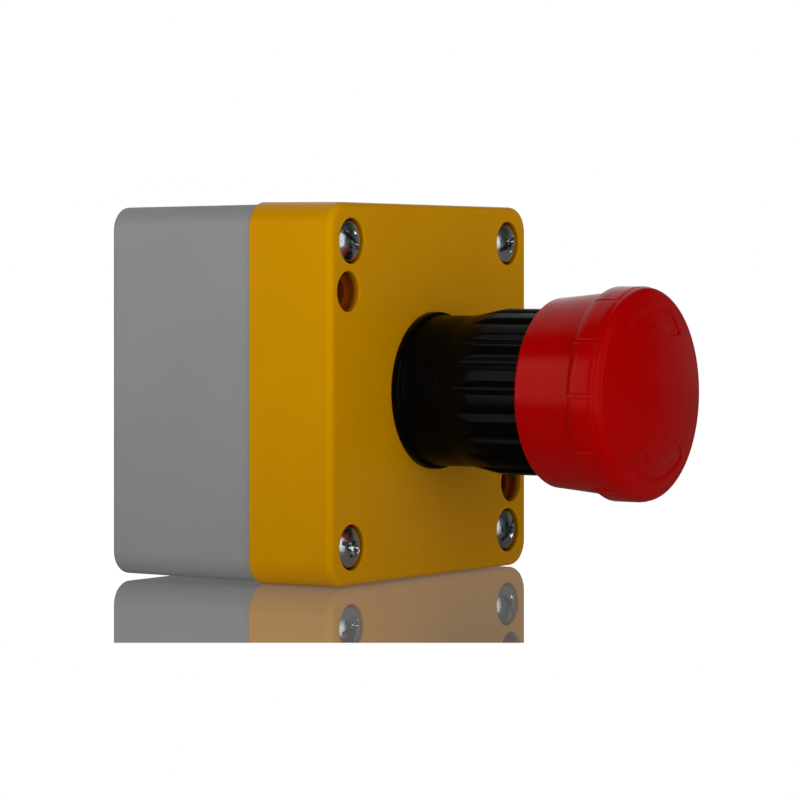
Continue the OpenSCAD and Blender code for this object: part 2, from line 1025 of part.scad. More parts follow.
base_box();
lid();
lid_gasket();
lid_screws();
collar();
panel_seal();
nut_washer();
fixing_nut();
stem_seal();
mushroom_cap();
cap_insert();
stem();
latch_pin();
plunger_foot();
foot_screw();
latch_sleeve();
torsion_spring();
release_spring();
contact_carrier();
carrier_screw();
left_block_housing();
right_block_housing();
left_block_cover();
right_block_cover();
left_pusher();
right_pusher();
left_bridge();
right_bridge();
left_moving_tips();
right_moving_tips();
left_contact_spring();
right_contact_spring();
left_upper_terminal();
left_lower_terminal();
right_upper_terminal();
right_lower_terminal();
fixed_tips();
clamp_plates();
terminal_screws();
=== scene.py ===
# %% [markdown]
# An emergency stop push button in its own housing, on a glossy plate.
# The CAD model gives every piece its place and size. This script adds what the CAD
# model has no words for: soft moulded edges, engraved arrows, ribs that run out
# smoothly, plastics, metals and light.

# %% Load the CAD model
import json
import math

import bmesh
import bpy
from mathutils import Matrix, Vector


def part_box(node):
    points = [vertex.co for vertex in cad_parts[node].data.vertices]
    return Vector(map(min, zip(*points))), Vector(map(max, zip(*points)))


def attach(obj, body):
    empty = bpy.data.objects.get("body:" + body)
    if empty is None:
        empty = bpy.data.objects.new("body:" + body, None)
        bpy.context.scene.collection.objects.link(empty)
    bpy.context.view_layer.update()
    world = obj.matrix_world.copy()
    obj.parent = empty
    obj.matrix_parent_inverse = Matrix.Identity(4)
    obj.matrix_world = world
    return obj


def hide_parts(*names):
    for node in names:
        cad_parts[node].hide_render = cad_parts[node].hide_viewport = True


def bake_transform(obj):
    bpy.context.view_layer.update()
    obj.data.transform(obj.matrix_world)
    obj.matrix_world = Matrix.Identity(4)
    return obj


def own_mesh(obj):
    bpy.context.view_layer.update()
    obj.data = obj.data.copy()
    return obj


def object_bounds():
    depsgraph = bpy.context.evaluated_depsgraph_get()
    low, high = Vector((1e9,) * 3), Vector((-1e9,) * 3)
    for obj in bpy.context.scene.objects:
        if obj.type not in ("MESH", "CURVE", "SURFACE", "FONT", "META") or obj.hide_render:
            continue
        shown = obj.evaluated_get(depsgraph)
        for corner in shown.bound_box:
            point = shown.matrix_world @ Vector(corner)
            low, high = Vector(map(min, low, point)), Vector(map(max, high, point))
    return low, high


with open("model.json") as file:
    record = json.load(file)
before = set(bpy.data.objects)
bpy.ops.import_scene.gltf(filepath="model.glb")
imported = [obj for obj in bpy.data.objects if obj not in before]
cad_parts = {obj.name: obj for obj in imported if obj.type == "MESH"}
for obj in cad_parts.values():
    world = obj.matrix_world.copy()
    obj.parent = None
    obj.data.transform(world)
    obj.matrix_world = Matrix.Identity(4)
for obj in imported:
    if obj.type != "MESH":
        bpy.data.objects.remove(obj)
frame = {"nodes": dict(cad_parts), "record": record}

cad_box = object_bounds()
print("CAD box", [[round(v, 4) for v in corner] for corner in cad_box])

# %% [markdown]
# The camera comes first, because every look is judged through it. The upright edges of
# the housing are parallel in the picture, so the camera looks level and its lens is
# shifted down instead of the camera being tilted. A long lens stands for a camera far away.

# %% Camera
scene = bpy.context.scene
scene.view_settings.view_transform = "Standard"
view_turn = math.radians(-57.7)
camera_data = bpy.data.cameras.new("camera")
camera_data.lens = 162.8
camera_data.sensor_width = 36
camera_data.shift_y = -0.15
camera_data.clip_end = 20
camera = bpy.data.objects.new("camera", camera_data)
camera.location = (-0.5940, -0.4188, 0.0213)
camera.rotation_euler = (math.radians(90), 0, view_turn)
scene.collection.objects.link(camera)
scene.camera = camera
print("camera is", round(camera.location.length, 3), "m from the wall plane's centre")

# %% [markdown]
# The new pieces are shaped in millimetres, lying on their backs: the height of a point
# is its distance from the wall. That makes every round form a plain turning job about
# an upright axis. Each finished piece is then stood up and scaled to metres in one step.
# The main sizes are read from the CAD boxes, so the pieces follow the model.

# %% Sizes from the frame
MM = 0.001
stand_up = Matrix.Rotation(math.radians(90), 4, "X") @ Matrix.Scale(MM, 4)
lid_low, lid_high = (Vector(corner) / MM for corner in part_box("lid"))
base_low, base_high = (Vector(corner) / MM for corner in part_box("base_box"))
cap_low, cap_high = (Vector(corner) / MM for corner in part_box("mushroom_cap"))
collar_low, collar_high = (Vector(corner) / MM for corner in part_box("collar"))
lid_half = lid_high.x
base_half = base_high.x
face = -lid_low.y
seam = -base_low.y
head_r = cap_high.x
print("lid", round(2 * lid_half, 2), "mm wide; face at", round(face, 2), "seam at", round(seam, 2))

# %% [markdown]
# Most pieces of this button were turned, moulded round a turned core, or drilled, so a
# half outline spun about an axis makes them. An outline is a list of points with a
# radius and a height, and its round stretches come from one arc formula.


# %% Turning helpers
def arc(center, radius, start, end, steps):
    """Points on a round stretch of an outline, from one angle to another in degrees."""
    turns = [math.radians(start + (end - start) * i / steps) for i in range(steps + 1)]
    return [(center[0] + radius * math.cos(t), center[1] + radius * math.sin(t)) for t in turns]


def turn(shape, outline, steps, center=(0, 0)):
    """Spins an outline of (radius, height) points about an upright axis."""
    points = [shape.verts.new((center[0] + r, center[1], z)) for r, z in outline]
    edges = [shape.edges.new(pair) for pair in zip(points, points[1:])]
    bmesh.ops.spin(
        shape,
        geom=points + edges,
        cent=(*center, 0),
        axis=(0, 0, 1),
        angle=math.tau,
        steps=steps,
        use_merge=True,
    )


def close_up(shape):
    """Merges doubled points and turns all faces outwards."""
    bmesh.ops.remove_doubles(shape, verts=shape.verts[:], dist=0.0005)
    bmesh.ops.recalc_face_normals(shape, faces=shape.faces[:])
    gaps = sum(1 for edge in shape.edges if not edge.is_manifold)
    return gaps


# %% [markdown]
# A piece is finished the same way each time: stood up, smooth shaded, given its body
# and its finish, and the CAD nodes that it replaces are hidden. The Weighted Normal
# modifier keeps flat faces flat beside their rounded edges, so a moulded edge catches
# the light as a narrow line and doesn't smear over the whole wall.


# %% Finishing helper
def finish_piece(shape, name, slot, body, nodes, weighted=True):
    gaps = close_up(shape)
    bmesh.ops.transform(shape, matrix=stand_up, verts=shape.verts[:])
    mesh = bpy.data.meshes.new(name)
    shape.to_mesh(mesh)
    shape.free()
    for polygon in mesh.polygons:
        polygon.use_smooth = True
    mesh.set_sharp_from_angle(angle=math.radians(50))
    piece = bpy.data.objects.new(name, mesh)
    scene.collection.objects.link(piece)
    if weighted:
        normals = piece.modifiers.new("even_normals", "WEIGHTED_NORMAL")
        normals.keep_sharp = True
    mesh.materials.append(finishes[slot])
    if body:
        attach(piece, body)
    if nodes:
        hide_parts(*nodes)
    print(name, "has", len(mesh.polygons), "faces and", gaps, "open edges")
    return piece


# %% [markdown]
# A material is a small graph of nodes. Every pattern is read in object coordinates, so
# it stays on the piece. Moulded plastic is never one even tone: its gloss and its colour
# drift a little, and its skin has the fine grain of the mould.


# %% Material helpers
def new_material(name, color, roughness, metallic=0.0, specular=0.5):
    material = bpy.data.materials.new(name)
    material.use_nodes = True
    shader = material.node_tree.nodes["Principled BSDF"]
    shader.inputs["Base Color"].default_value = (*color, 1)
    shader.inputs["Roughness"].default_value = roughness
    shader.inputs["Metallic"].default_value = metallic
    shader.inputs["Specular IOR Level"].default_value = specular
    return material, shader


def add_noise(material, scale, detail=3.0, stretch=(1, 1, 1)):
    nodes, links = material.node_tree.nodes, material.node_tree.links
    place = nodes.new("ShaderNodeTexCoord")
    mapping = nodes.new("ShaderNodeMapping")
    mapping.inputs["Scale"].default_value = stretch
    noise = nodes.new("ShaderNodeTexNoise")
    noise.inputs["Scale"].default_value = scale
    noise.inputs["Detail"].default_value = detail
    links.new(place.outputs["Object"], mapping.inputs["Vector"])
    links.new(mapping.outputs["Vector"], noise.inputs["Vector"])
    return noise


def spread(material, source, low, high):
    """Stretches the middle of a noise over a range of values."""
    nodes, links = material.node_tree.nodes, material.node_tree.links
    stretch = nodes.new("ShaderNodeMapRange")
    stretch.inputs["From Min"].default_value = 0.35
    stretch.inputs["From Max"].default_value = 0.65
    stretch.inputs["To Min"].default_value = low
    stretch.inputs["To Max"].default_value = high
    links.new(source.outputs["Fac"], stretch.inputs["Value"])
    return stretch.outputs["Result"]


def vary_color(material, shader, scale, color, amount):
    """Lets the colour drift a little darker and lighter."""
    nodes, links = material.node_tree.nodes, material.node_tree.links
    ramp = nodes.new("ShaderNodeValToRGB")
    ramp.color_ramp.elements[0].position = 0.3
    ramp.color_ramp.elements[1].position = 0.7
    ramp.color_ramp.elements[0].color = (*[c * (1 - amount) for c in color], 1)
    ramp.color_ramp.elements[1].color = (*[c * (1 + amount) for c in color], 1)
    noise = add_noise(material, scale)
    links.new(noise.outputs["Fac"], ramp.inputs["Fac"])
    links.new(ramp.outputs["Color"], shader.inputs["Base Color"])


def vary_roughness(material, shader, scale, low, high, stretch=(1, 1, 1)):
    value = spread(material, add_noise(material, scale, 4.0, stretch), low, high)
    material.node_tree.links.new(value, shader.inputs["Roughness"])


def add_grain(material, shader, scale, strength, depth, stretch=(1, 1, 1)):
    nodes, links = material.node_tree.nodes, material.node_tree.links
    noise = add_noise(material, scale, 2.0, stretch)
    bump = nodes.new("ShaderNodeBump")
    bump.inputs["Strength"].default_value = strength
    bump.inputs["Distance"].default_value = depth
    links.new(noise.outputs["Fac"], bump.inputs["Height"])
    links.new(bump.outputs["Normal"], shader.inputs["Normal"])


# %% [markdown]
# The housing and the lid came out of a lightly etched mould, so they reflect very
# little. The head and the collar show soft mirror patches. What a coloured plastic
# reflects is tinted with its own colour, so that a pale room lays no white veil over it.
# The zinc of the screws is bright and a little blue, with a fine grain.
# The walls of the holes in the lid get painted shade: a darker, redder colour in place of
# the little light that reaches into a hollow and reddens as it bounces about.


# %% Finishes
def plastic(name, color, gloss, specular=0.5, grain=0.1, grain_scale=2500, tint=(1, 1, 1)):
    material, shader = new_material(name, color, gloss, specular=specular)
    shader.inputs["Specular Tint"].default_value = (*tint, 1)
    vary_color(material, shader, 70, color, 0.025)
    vary_roughness(material, shader, 150, gloss - 0.03, gloss + 0.04)
    add_grain(material, shader, grain_scale, grain, 0.0001)
    return material


def metal(name, color, gloss, grain=0.1, stretch=(1, 1, 1)):
    material, shader = new_material(name, color, gloss, 1.0)
    vary_color(material, shader, 500, color, 0.06)
    vary_roughness(material, shader, 900, gloss - 0.04, gloss + 0.08, stretch)
    add_grain(material, shader, 2500, grain, 0.00005, stretch)
    return material


finishes = {
    "grey_housing": plastic("grey_moulding", (0.235, 0.235, 0.233), 0.5, 0.15),
    "yellow_lid": plastic("yellow_moulding", (0.505, 0.228, 0.0), 0.25, 0.1, tint=(1, 0.5, 0)),
    "red_head": plastic("red_polish", (0.345, 0.0, 0.0), 0.2, 0.1, 0.04, 700, (1, 0.4, 0.35)),
    "black_collar": plastic("black_moulding", (0.0012, 0.0012, 0.0011), 0.3, 0.035),
    "black_plastic": plastic("black_core", (0.02, 0.02, 0.022), 0.5),
    "white_plastic": plastic("white_core", (0.7, 0.69, 0.65), 0.45),
    "block_plastic": plastic("block_moulding", (0.10, 0.11, 0.12), 0.5),
    "pusher_plastic": plastic("pusher_moulding", (0.38, 0.02, 0.015), 0.45),
    "rubber": plastic("soft_rubber", (0.015, 0.015, 0.015), 0.7, 0.3, 0.3),
    "zinc_steel": metal("zinc_plate", (0.57, 0.60, 0.61), 0.18, 0.2),
    "spring_steel": metal("spring_wire", (0.45, 0.45, 0.46), 0.3, 0.2),
    "brass": metal("brass_strip", (0.72, 0.50, 0.20), 0.3),
    "silver_tip": metal("silver_alloy", (0.8, 0.8, 0.8), 0.25),
}


def paint_hole_shade(material, color):
    """Paints shade on the walls of the holes in the lid's face, as a darker, redder colour."""
    nodes, links = material.node_tree.nodes, material.node_tree.links
    shader = nodes["Principled BSDF"]
    skin = shader.inputs["Base Color"].links[0].from_socket
    place = nodes.new("ShaderNodeTexCoord")
    split = nodes.new("ShaderNodeSeparateXYZ")
    links.new(place.outputs["Object"], split.inputs[0])
    depth = nodes.new("ShaderNodeMapRange")
    depth.inputs["From Min"].default_value = (0.1 - face) * MM
    depth.inputs["From Max"].default_value = (1.5 - face) * MM
    links.new(split.outputs["Y"], depth.inputs["Value"])
    inner = depth.outputs["Result"]
    for axis in "XZ":
        aside = nodes.new("ShaderNodeMath")
        aside.operation = "ABSOLUTE"
        links.new(split.outputs[axis], aside.inputs[0])
        within = nodes.new("ShaderNodeMath")
        within.operation = "LESS_THAN"
        within.inputs[1].default_value = (lid_half - 2) * MM
        links.new(aside.outputs[0], within.inputs[0])
        both = nodes.new("ShaderNodeMath")
        both.operation = "MULTIPLY"
        links.new(inner, both.inputs[0])
        links.new(within.outputs[0], both.inputs[1])
        inner = both.outputs[0]
    mix = nodes.new("ShaderNodeMix")
    mix.data_type = "RGBA"
    links.new(inner, mix.inputs["Factor"])
    links.new(skin, mix.inputs[6])
    mix.inputs[7].default_value = (*color, 1)
    links.new(mix.outputs[2], shader.inputs["Base Color"])


# Painted shade: the hole walls take this darker, redder colour in place of the light that doesn't
# reach them.
paint_hole_shade(finishes["yellow_lid"], (0.14, 0.026, 0.0))
for row in frame["record"]["subparts"]:
    node = frame["nodes"][row["node"]]
    node.data.materials.clear()
    node.data.materials.append(finishes[row["material_slot"]])
print(len(finishes), "finishes for", len(frame["nodes"]), "nodes")

# %% [markdown]
# The housing and its lid are boxes with walls, holes and a cross-shaped dry space. A
# cube with bevelled edges gives the outside. The inside is a set of upright walls, such
# as turned hole walls and the walls of the cross, that start and end at a few levels.
# Triangle Fill then closes each level round all the rings that lie in it, as a planner
# fills a floor plan, and no face has to be listed by hand.


# %% Box helpers
def block(shape, half, low, high, corner_r, slim_z, slim, edge_r):
    """A box with round corners, whose end at slim_z is smaller and has a round rim."""
    size = (2 * half, 2 * half, high - low)
    place = Matrix.Translation((0, 0, (low + high) / 2)) @ Matrix.Diagonal((*size, 1))
    bmesh.ops.create_cube(shape, size=1, matrix=place)
    upright = [e for e in shape.edges if abs(e.verts[0].co.z - e.verts[1].co.z) > 1]
    bmesh.ops.bevel(
        shape,
        geom=upright,
        offset=corner_r,
        segments=12,
        profile=0.5,
        affect="EDGES",
        material=-1,
    )
    rim = [v for v in shape.verts if abs(v.co.z - slim_z) < 0.01]
    less = (half - slim) / half
    bmesh.ops.scale(shape, vec=(less, less, 1), verts=rim)
    around = [e for e in shape.edges if all(v in set(rim) for v in e.verts)]
    bmesh.ops.bevel(
        shape,
        geom=around,
        offset=edge_r,
        segments=6,
        profile=0.5,
        affect="EDGES",
        material=-1,
    )


def rounded_wall(shape, corners, round_r, low, high):
    """An upright wall round a flat outline; its outer corners are rounded."""
    points = [shape.verts.new((x, y, low)) for x, y in corners]
    plan = shape.faces.new(points)
    outer = []
    for i, point in enumerate(points):
        before = points[i - 1].co - point.co
        after = points[(i + 1) % len(points)].co - point.co
        if before.cross(after).z < 0:
            outer.append(point)
    bmesh.ops.bevel(
        shape,
        geom=outer,
        offset=round_r,
        segments=6,
        profile=0.5,
        affect="VERTICES",
        material=-1,
    )
    plan = next(f for f in shape.faces if all(abs(v.co.z - low) < 1e-4 for v in f.verts)
                and len(f.verts) > len(corners) and f.calc_area() > 1)
    ring = plan.edges[:]
    bmesh.ops.delete(shape, geom=[plan], context="FACES_ONLY")
    grown = bmesh.ops.extrude_edge_only(shape, edges=ring)
    top = [item for item in grown["geom"] if isinstance(item, bmesh.types.BMVert)]
    bmesh.ops.translate(shape, vec=(0, 0, high - low), verts=top)


def open_flat(shape, point, normal):
    """Takes away the flat face in a plane and keeps its edges."""
    flat = [
        f
        for f in shape.faces
        if all(abs((v.co - point).dot(normal)) < 0.001 for v in f.verts)
    ]
    bmesh.ops.delete(shape, geom=flat, context="FACES_ONLY")


def fill_flat(shape, point, normal):
    """Fills a plane round all the open rings that lie in it."""
    rings = [
        e
        for e in shape.edges
        if len(e.link_faces) == 1
        and all(abs((v.co - point).dot(normal)) < 0.001 for v in e.verts)
    ]
    bmesh.ops.triangle_fill(shape, use_beauty=True, edges=rings, normal=normal)


def fill_levels(shape, levels):
    for level in levels:
        fill_flat(shape, Vector((0, 0, level)), Vector((0, 0, 1)))


# %% Plan of the housing
up = Vector((0, 0, 1))
screw_at = lid_half - 7.4
well_x = screw_at + 1.15
well_y = screw_at - 9.46
wells = [(-well_x, well_y), (well_x, -well_y)]
screws = [(x * screw_at, y * screw_at) for y in (1, -1) for x in (-1, 1)]
passage_r = 2.4
dry_long = lid_half - 3.5
dry_short_x = screw_at - 6.4
dry_short_y = well_y - 6.64
dry_round = 3


def cross_plan(grown):
    """Corners of the dry space, which is a cross because screws stand in its corners."""
    a, b, c = dry_long + grown, dry_short_x + grown, dry_short_y + grown
    quarter = [(a, c), (b, c), (b, a)]
    left = [(-x, y) for x, y in reversed(quarter)]
    top = quarter + left
    return top + [(-x, -y) for x, y in top]


def cross_wall(shape, grown, low, high):
    """A wall round the dry space, at some distance outside its outline."""
    rounded_wall(shape, cross_plan(grown), dry_round + grown, low, high)


print("wall screws", [(round(x, 2), round(y, 2)) for x, y in wells])

# %% [markdown]
# The base is a light grey box with its opening at the lid. Its two ring-shaped grooves
# are the edges of knock-outs, which an installer breaks out for a cable gland. They
# lie in the top and the bottom wall, so they are turned flat and then leaned
# onto the wall, whose small tilt lets the moulding leave its mould.

# %% Base
base_corner = 4.55
base_slim = 0.25
base_edge = 1.0
floor_t = 3.0
pilot_r = 2
pilot_deep = 12
groove_from = 0.9
groove_to = 2.1
groove_deep = 1.4
relief_in = 9.5
relief_deep = 0.8
relief_round = 3
knock_r = 10.1
knock_z = 16
knock_w = 0.8
knock_deep = 0.7
chamfer = 0.2

base = bmesh.new()
block(base, base_half, 0, seam, base_corner, 0, base_slim, base_edge)
for level in (0, seam):
    open_flat(base, Vector((0, 0, level)), up)
for place in wells:
    turn(base, [(passage_r + 0.3, 0), (passage_r, 0.3), (passage_r, seam)], 48, place)
for place in screws:
    pilot = [(0, seam - pilot_deep), (pilot_r, seam - pilot_deep)]
    turn(base, pilot + [(pilot_r, seam - 0.3), (pilot_r + 0.3, seam)], 32, place)
cross_wall(base, 0, floor_t, seam)
for grown in (groove_from, groove_to):
    cross_wall(base, grown, seam - groove_deep, seam)
relief = [(dry_short_x - 1, base_half - relief_in), (1 - dry_short_x, base_half - relief_in)]
relief = relief + [(-x, -y) for x, y in relief]
rounded_wall(base, relief, relief_round, 0, relief_deep)
fill_levels(base, (0, relief_deep, floor_t, seam - groove_deep, seam))

tilt = math.atan(base_slim / seam)
knock_out_r = knock_r + knock_w
knock_groove = [(knock_out_r + chamfer, 0), (knock_out_r, -chamfer), (knock_out_r, -knock_deep)]
knock_groove = knock_groove + [(knock_r, -knock_deep), (knock_r, -chamfer), (knock_r - chamfer, 0)]
for side in (1, -1):
    spot = Vector((0, side * (base_half - base_slim * (seam - knock_z) / seam), knock_z))
    normal = Vector((0, side * math.cos(tilt), -math.sin(tilt)))
    lean = Matrix.Translation(spot) @ normal.to_track_quat("Z", "X").to_matrix().to_4x4()
    open_flat(base, spot, normal)
    ring = bmesh.new()
    turn(ring, knock_groove, 72)
    bmesh.ops.transform(ring, matrix=lean, verts=ring.verts[:])
    part = bpy.data.meshes.new("ring")
    ring.to_mesh(part)
    ring.free()
    base.from_mesh(part)
    bpy.data.meshes.remove(part)
    bmesh.ops.remove_doubles(base, verts=base.verts[:], dist=0.0005)
    fill_flat(base, spot, normal)
finish_piece(base, "housing_base", "grey_housing", "housing", ["base_box"])

# %% [markdown]
# The lid is the same kind of box, with its closed end to the front. Its holes have
# stepped walls: a screw's head sits in the wide part, and its shank goes on through the
# narrow part. Each rim is a small round, because a moulded rim that is perfectly sharp
# looks drawn and not made.

# %% Lid
lid_corner = 5.0
lid_slim = 0.15
lid_edge = 1.4
lid_wall = 3.0
counter_r = 4.3
counter_deep = 2.25
shank_hole_r = 2.25
well_r = 3.8
well_deep = 2.6
rim_round = 0.22
panel_hole_r = 11.15
lip_deep = 2.0
lip_gap = -0.25
lip_inner = -1.75
above_lip = -0.26


def stepped_hole(narrow, wide, deep, low, top):
    """Outline of a stepped hole, from the seam up to a rounded rim."""
    step = top - deep
    return (
        [(narrow, low), (narrow, step - 0.15), (narrow + 0.15, step)]
        + arc((wide - 0.3, step + 0.3), 0.3, -90, 0, 4)
        + arc((wide + rim_round, top - rim_round), rim_round, 180, 90, 4)
    )


lid = bmesh.new()
block(lid, lid_half, seam, face, lid_corner, face, lid_slim, lid_edge)
for level in (seam, face):
    open_flat(lid, Vector((0, 0, level)), up)
for place in screws:
    turn(lid, stepped_hole(shank_hole_r, counter_r, counter_deep, seam, face), 64, place)
for place in wells:
    turn(lid, stepped_hole(passage_r, well_r, well_deep, seam, face), 64, place)
turn(lid, [(panel_hole_r, face - lid_wall), (panel_hole_r, face)], 64)
cross_wall(lid, lip_gap, seam - lip_deep, seam)
cross_wall(lid, lip_inner, seam - lip_deep, seam + lip_deep)
cross_wall(lid, above_lip, seam + lip_deep, face - lid_wall)
fill_levels(lid, (seam - lip_deep, seam, seam + lip_deep, face - lid_wall, face))
finish_piece(lid, "housing_lid", "yellow_lid", "housing", ["lid"])

# %% [markdown]
# The collar is one turned form with ribs. Its ribs are what is left between round
# grooves that run straight along it, and they fade out where the flare sinks below the
# grooves' floor. A spin gives the turned form many thin columns. Then each point of the
# outer wall moves inwards to the groove where the groove is deeper. A cosine gives each
# groove its round section. A soft minimum instead of a plain one rounds the edge
# between rib and groove, and the two bends of the flare.

# %% Collar
flange_r = 15.15
flange_t = 2.0
neck_r = 14.5
flare_r = collar_high.x
flare_start = 10.3
flare_end = 17.3
collar_len = -collar_low.y - face
chamber_r = 12.6
barrel_r = 11.0
bore_r = 8.8
barrel_len = 12.0
chamber_floor = 4
stem_hole_r = 6.08
web_low = -8.0
web_top = -4.5
flange_edge = 0.7
foot_round = 0.25
mouth_round = 0.6
rib_count = 20
rib_phase = math.radians(-4.1)
groove_half = 1.7
groove_deep_in = 0.75
columns_per_rib = 28
edge_soft = 0.12
lower_bend = 0.1
upper_bend = 0.2


def groove_wall(angle):
    """Distance from the axis to the ribbed wall, in one direction."""
    pitch = math.tau / rib_count
    aside = (angle - rib_phase + pitch / 2) % pitch - pitch / 2
    across = min(abs(aside) * flare_r / groove_half, 1)
    return flare_r - groove_deep_in * (1 + math.cos(math.pi * across)) / 2


def soft_least(a, b, soft):
    """The lesser of two values, with a rounded change-over."""
    near = max(soft - abs(a - b), 0) / soft
    return min(a, b) - near * near * soft / 4


def flare_at(height):
    """Radius of the plain wall, which rises from the neck in a soft bend."""
    rising = neck_r + (height - flare_start) * (flare_r - neck_r) / (flare_end - flare_start)
    return -soft_least(-soft_least(rising, flare_r, upper_bend), -neck_r, lower_bend)


flare_rows = 34
flare_len = flare_end - flare_start + 2
heights = [flare_start - 1 + i * flare_len / flare_rows for i in range(flare_rows + 1)]
flare = [(flare_at(height), height) for height in heights]
outline = (
    [(chamber_r, collar_len), (chamber_r, chamber_floor), (bore_r, chamber_floor)]
    + [(bore_r, web_top), (stem_hole_r, web_top), (stem_hole_r, web_low)]
    + [(bore_r, web_low), (bore_r, -barrel_len)]
    + [(barrel_r - 0.5, -barrel_len), (barrel_r, 0.5 - barrel_len), (barrel_r, 0)]
    + [(flange_r - chamfer, 0), (flange_r, chamfer), (flange_r, flange_t - flange_edge)]
    + arc((flange_r - flange_edge, flange_t - flange_edge), flange_edge, 0, 90, 5)
    + arc((neck_r + foot_round, flange_t + foot_round), foot_round, -90, -180, 3)
    + [(neck_r, flange_t + 2), (neck_r, flare_start - 3)]
    + flare
    + [(flare_r, z) for z in (19.5, 23, 28)]
    + arc((flare_r - mouth_round, collar_len - mouth_round), mouth_round, 0, 90, 4)
    + [(chamber_r, collar_len)]
)
collar = bmesh.new()
turn(collar, outline, rib_count * columns_per_rib)
bmesh.ops.remove_doubles(collar, verts=collar.verts[:], dist=0.0005)
for point in collar.verts:
    radius = math.hypot(point.co.x, point.co.y)
    if point.co.z > flare_start and radius > chamber_r + 0.5:
        angle = math.atan2(point.co.y, point.co.x)
        smaller = soft_least(radius, groove_wall(angle), edge_soft) / radius
        point.co.x *= smaller
        point.co.y *= smaller
bmesh.ops.translate(collar, vec=(0, 0, face), verts=collar.verts[:])
finish_piece(collar, "ribbed_collar", "black_collar", "housing", ["collar"], weighted=False)

# %% [markdown]
# The mushroom head is turned too: a slightly conical skirt, a straight rim, a round edge
# and a shallow dome, all one wall over a hollow. The rim carries low pads that a hand
# grips. Inset Region makes them: it sets a smaller copy of each patch of faces higher
# than the wall and joins the two with a sloping side, which is what a mould leaves. A
# gentle inset and then a steeper one give each pad a soft foot.

# %% Head outline
skirt_back = -cap_high.y - face
head_reach = -cap_low.y - face
rim_back = 41.0
rim_front = 48.0
rim_r = head_r - 0.2
edge_r = 1.55
dome_edge_r = rim_r - edge_r
dome_h = head_reach - rim_front
dome_r = (dome_edge_r**2 + dome_h**2) / (2 * dome_h)
pad_low = rim_back + 0.15
pad_high = 46.3
hollow_r = 16.3
ceiling = 45.9
clip_r = hollow_r + 1
clip_back = 37
clip_front = 43.3
skirt_round = 0.7
skirt_r = head_r - 2.2
skirt = [(head_r - 2.05, 31), (head_r - 1.67, 35), (head_r - 1.25, 39), (head_r - 1.1, 40.8)]
arrow_in = 12.8
arrow_out = 16.0
barb_in = 11.4
barb_out = 17.4
tip_r = 14.8


def dome_at(radius):
    """Height of the dome at a distance from the axis."""
    return head_reach - dome_r + math.sqrt(dome_r**2 - radius**2)


rings = [18.0, barb_out, 16.7, arrow_out, 15.4, tip_r, 13.8, arrow_in, 12.1, barb_in]
rings = rings + [10, 8.5, 7, 5.5, 4, 2.5, 1.2, 0]
outline = (
    [(0, ceiling), (hollow_r, ceiling), (hollow_r, clip_front), (clip_r, clip_front)]
    + [(clip_r, clip_back), (hollow_r, clip_back), (hollow_r, skirt_back + 0.3)]
    + arc((hollow_r + 0.3, skirt_back + 0.3), 0.3, 180, 270, 3)
    + arc((skirt_r - skirt_round, skirt_back + skirt_round), skirt_round, -90, 0, 6)
    + skirt
    + arc((head_r - 0.9, 40.8), 0.2, 180, 90, 3)
    + arc((rim_r - 0.15, rim_back + 0.15), 0.15, -90, 0, 3)
    + [(rim_r, pad_low), (rim_r, 43), (rim_r, 45), (rim_r, pad_high)]
    + arc((dome_edge_r, rim_front - edge_r), edge_r, 0, 86, 9)
    + [(radius, dome_at(radius)) for radius in rings]
)
columns = 720
head = bmesh.new()
turn(head, outline, columns)
bmesh.ops.remove_doubles(head, verts=head.verts[:], dist=0.0005)
bmesh.ops.recalc_face_normals(head, faces=head.faces[:])
print("head has", len(head.faces), "faces before its pads and arrows")

# %% Grip pads
pad_pitch = 30
pad_start = 0.5
pad_angle = 28


def polar(point):
    """Radius and angle, in degrees from 0 to 360, of a point seen from the front."""
    return math.hypot(point.x, point.y), math.degrees(math.atan2(point.y, point.x)) % 360


def inset(faces, thickness, depth, even):
    """Sets a smaller copy of a patch of faces higher, or lower if depth is negative."""
    bmesh.ops.inset_region(
        head,
        faces=faces,
        thickness=thickness,
        depth=depth,
        use_boundary=True,
        use_even_offset=even,
    )


pads = []
for cell in head.faces:
    middle = cell.calc_center_median()
    radius, angle = polar(middle)
    along = (angle - pad_start) % pad_pitch
    if pad_low < middle.z < pad_high and radius > rim_r - 0.1 and along < pad_angle:
        pads.append(cell)
inset(pads, 0.06, 0.03, True)
inset(pads, 0.14, 0.1, True)
print(len(pads), "faces lie on the pads")

# %% [markdown]
# Two curved arrows say which way to turn the head to let it go. Each is a band between
# two of the dome's rings, and its point is a triangle. The rings and columns already
# hold most of its outline. Two bisecting planes cut the slanted sides of the point into
# the dome, and only into the few faces round it. Edges that the cuts left very short
# are dissolved. Three insets then sink the arrow and give it a soft shoulder.


# %% Arrows
def around(radius, angle):
    """The point at a distance from the axis, in a direction given in degrees."""
    bearing = math.radians(angle)
    return Vector((radius * math.cos(bearing), radius * math.sin(bearing), 0))


def inside(point, corners):
    """Whether a point lies inside a flat outline that has no inward corner."""
    turns = []
    for i, corner in enumerate(corners):
        edge = corners[(i + 1) % len(corners)] - corner
        turns.append(edge.cross(Vector((point.x, point.y, 0)) - corner).z)
    return all(t > 0 for t in turns) or all(t < 0 for t in turns)


def on_dome(cell, low_r, high_r, low_a, high_a):
    """Whether a face of the dome lies between two radii and two angles."""
    middle = cell.calc_center_median()
    radius, angle = polar(middle)
    return middle.z > rim_front - 1 and low_r < radius < high_r and low_a < angle < high_a


